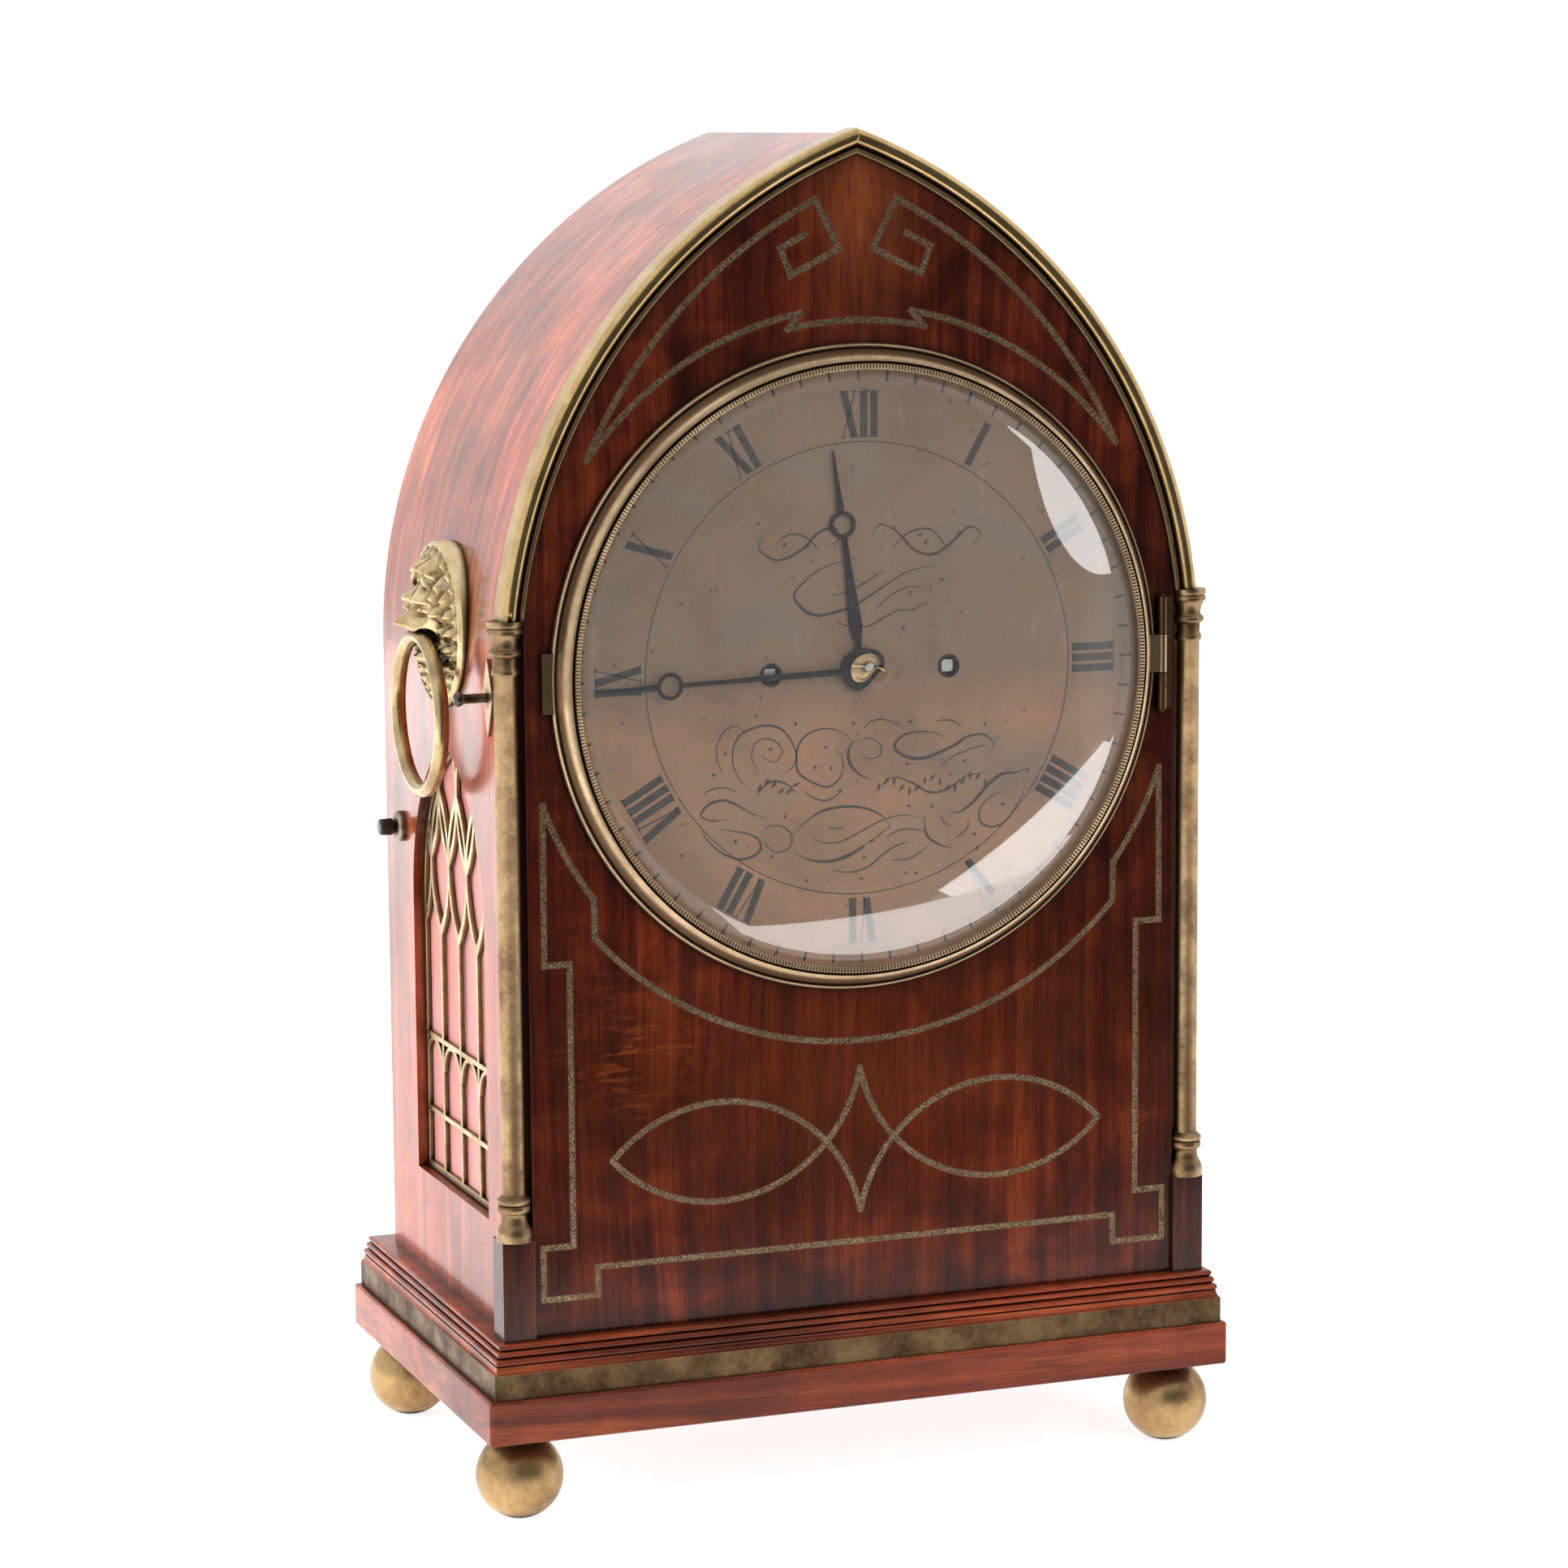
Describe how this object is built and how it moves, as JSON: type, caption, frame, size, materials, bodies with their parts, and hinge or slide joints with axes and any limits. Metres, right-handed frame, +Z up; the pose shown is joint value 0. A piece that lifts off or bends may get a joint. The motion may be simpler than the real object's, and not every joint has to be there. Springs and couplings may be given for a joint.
{
  "type": "bracket clock",
  "caption": "Lancet-arched wooden bracket clock on ball feet: hinged convex glass over a round dial, side ring handles and frets, glazed back door and a fusee movement with pendulum and bell.",
  "frame": {"origin": "on the table under the middle of the clock, halfway across its width and depth", "axes": "+X to the right across the front as the viewer sees it, +Y from the dial towards the back door, +Z up"},
  "size_m": [0.277, 0.182, 0.4657],
  "materials": {
    "mahogany": "french polished, worn",
    "dark_mahogany": "french polished, worn",
    "oak": "planed, bare",
    "aged_brass": "old polish with brown patina",
    "lacquered_brass": "brushed, lacquered",
    "silvered_dial": "silvered and engraved, worn",
    "glass": "clear",
    "silk": "faded woven silk",
    "ebonised_knob": "ebonised horn, polished",
    "blued_steel": "blued",
    "steel": "filed and polished",
    "bell_metal": "turned, dull"
  },
  "bodies": {
    "case": {"base_board": "mahogany", "base_brass_band": "aged_brass", "plinth_moulding": "mahogany", "ball_foot_front_left": "aged_brass", "ball_foot_front_right": "aged_brass", "ball_foot_back_left": "aged_brass", "ball_foot_back_right": "aged_brass", "side_panel_left": "mahogany", "side_panel_right": "mahogany", "roof_left": "mahogany", "roof_right": "mahogany", "front_panel": "mahogany", "inlay_upper": "aged_brass", "inlay_lower": "aged_brass", "arch_moulding_left": "aged_brass", "arch_moulding_right": "aged_brass", "corner_plinth_left": "dark_mahogany", "corner_plinth_right": "dark_mahogany", "column_left": "aged_brass", "column_right": "aged_brass", "dial_plate": "silvered_dial", "bezel_hinge": "aged_brass", "release_escutcheon": "aged_brass", "repeat_bush": "aged_brass", "lion_mask_left": "aged_brass", "lion_mask_right": "aged_brass", "side_fret_left": "lacquered_brass", "side_fret_right": "lacquered_brass", "fret_silk_left": "silk", "fret_silk_right": "silk", "back_frame": "mahogany", "rear_door_hinges": "aged_brass", "front_plate": "lacquered_brass", "back_plate": "lacquered_brass", "plate_pillars": "lacquered_brass", "seat_board": "oak", "bell": "bell_metal", "bell_stand": "steel"},
    "bezel": {"bezel_ring": "lacquered_brass", "bezel_glass": "glass"},
    "rear_door": {"rear_door": "mahogany", "rear_door_glass": "glass", "rear_door_fittings": "aged_brass"},
    "ring_left": {"ring_handle_left": "aged_brass"},
    "ring_right": {"ring_handle_right": "aged_brass"},
    "release_button": {"release_button": "aged_brass"},
    "repeat_knob": {"repeat_knob": "ebonised_knob"},
    "minute_train": {"centre_arbor": "lacquered_brass", "minute_hand": "blued_steel"},
    "minute_wheel": {"minute_wheel": "lacquered_brass"},
    "hour_train": {"hour_wheel": "lacquered_brass", "hour_hand": "blued_steel"},
    "going_barrel": {"going_barrel": "lacquered_brass"},
    "going_fusee": {"going_fusee": "lacquered_brass"},
    "strike_barrel": {"strike_barrel": "lacquered_brass"},
    "strike_fusee": {"strike_fusee": "lacquered_brass"},
    "escape_wheel": {"escape_wheel": "lacquered_brass"},
    "pallets": {"pallets_and_crutch": "steel"},
    "pendulum": {"pendulum": "lacquered_brass"},
    "hammer": {"hammer": "steel"}
  },
  "joints": [
    {"name": "bezel_hinge", "type": "hinge", "parent": "case", "child": "bezel", "pos_m": [0.1124, -0.0733, 0.285], "axis": [0, 0, 1], "range_deg": [0, 110]},
    {"name": "rear_door_hinge", "type": "hinge", "parent": "case", "child": "rear_door", "pos_m": [0.1213, 0.0822, 0.285], "axis": [0, 0, -1], "range_deg": [0, 110]},
    {"name": "ring_left_swing", "type": "hinge", "parent": "case", "child": "ring_left", "pos_m": [-0.1341, -0.0025, 0.2953], "axis": [0, 1, 0], "range_deg": [-5, 85]},
    {"name": "ring_right_swing", "type": "hinge", "parent": "case", "child": "ring_right", "pos_m": [0.1341, -0.0025, 0.2953], "axis": [0, -1, 0], "range_deg": [-5, 85]},
    {"name": "release_press", "type": "slide", "parent": "case", "child": "release_button", "axis": [1, 0, 0], "range_m": [0, 0.003], "stiffness_N_per_m": 200, "springref_m": -0.002},
    {"name": "repeat_pull", "type": "slide", "parent": "case", "child": "repeat_knob", "axis": [-1, 0, 0], "range_m": [0, 0.02], "stiffness_N_per_m": 60, "springref_m": -0.005},
    {"name": "minute_turn", "type": "hinge", "parent": "case", "child": "minute_train", "pos_m": [0, -0.051, 0.285], "axis": [0, 1, 0], "continuous": true},
    {"name": "minute_wheel_turn", "type": "hinge", "parent": "case", "child": "minute_wheel", "pos_m": [0, -0.057, 0.261], "axis": [0, 1, 0], "continuous": true},
    {"name": "hour_turn", "type": "hinge", "parent": "case", "child": "hour_train", "pos_m": [0, -0.059, 0.285], "axis": [0, 1, 0], "continuous": true},
    {"name": "going_barrel_turn", "type": "hinge", "parent": "case", "child": "going_barrel", "pos_m": [0.036, -0.026, 0.232], "axis": [0, 1, 0], "continuous": true},
    {"name": "going_fusee_turn", "type": "hinge", "parent": "case", "child": "going_fusee", "pos_m": [0.0322, -0.026, 0.2845], "axis": [0, 1, 0], "continuous": true},
    {"name": "strike_barrel_turn", "type": "hinge", "parent": "case", "child": "strike_barrel", "pos_m": [-0.036, -0.026, 0.232], "axis": [0, 1, 0], "continuous": true},
    {"name": "strike_fusee_turn", "type": "hinge", "parent": "case", "child": "strike_fusee", "pos_m": [-0.0322, -0.026, 0.2845], "axis": [0, 1, 0], "continuous": true},
    {"name": "escape_turn", "type": "hinge", "parent": "case", "child": "escape_wheel", "pos_m": [0, -0.017, 0.318], "axis": [0, 1, 0], "continuous": true},
    {"name": "pendulum_swing", "type": "hinge", "parent": "case", "child": "pendulum", "pos_m": [0, 0.009, 0.341], "axis": [0, 1, 0], "range_deg": [-3, 3]},
    {"name": "pallets_rock", "type": "hinge", "parent": "case", "child": "pallets", "pos_m": [0, -0.017, 0.341], "axis": [0, 1, 0], "range_deg": [-3, 3]},
    {"name": "hammer_lift", "type": "hinge", "parent": "case", "child": "hammer", "pos_m": [0.044, -0.023, 0.345], "axis": [0, 1, 0], "range_deg": [0, 12], "stiffness_Nm_per_rad": 0.02, "springref_deg": -11.46}
  ],
  "couplings": [
    {"joint": "minute_wheel_turn", "follows": "minute_turn", "ratio": -0.33333},
    {"joint": "hour_turn", "follows": "minute_turn", "ratio": 0.083333},
    {"joint": "going_fusee_turn", "follows": "going_barrel_turn", "ratio": 1.5333},
    {"joint": "strike_fusee_turn", "follows": "strike_barrel_turn", "ratio": 1.5333},
    {"joint": "pallets_rock", "follows": "pendulum_swing", "ratio": 1}
  ]
}
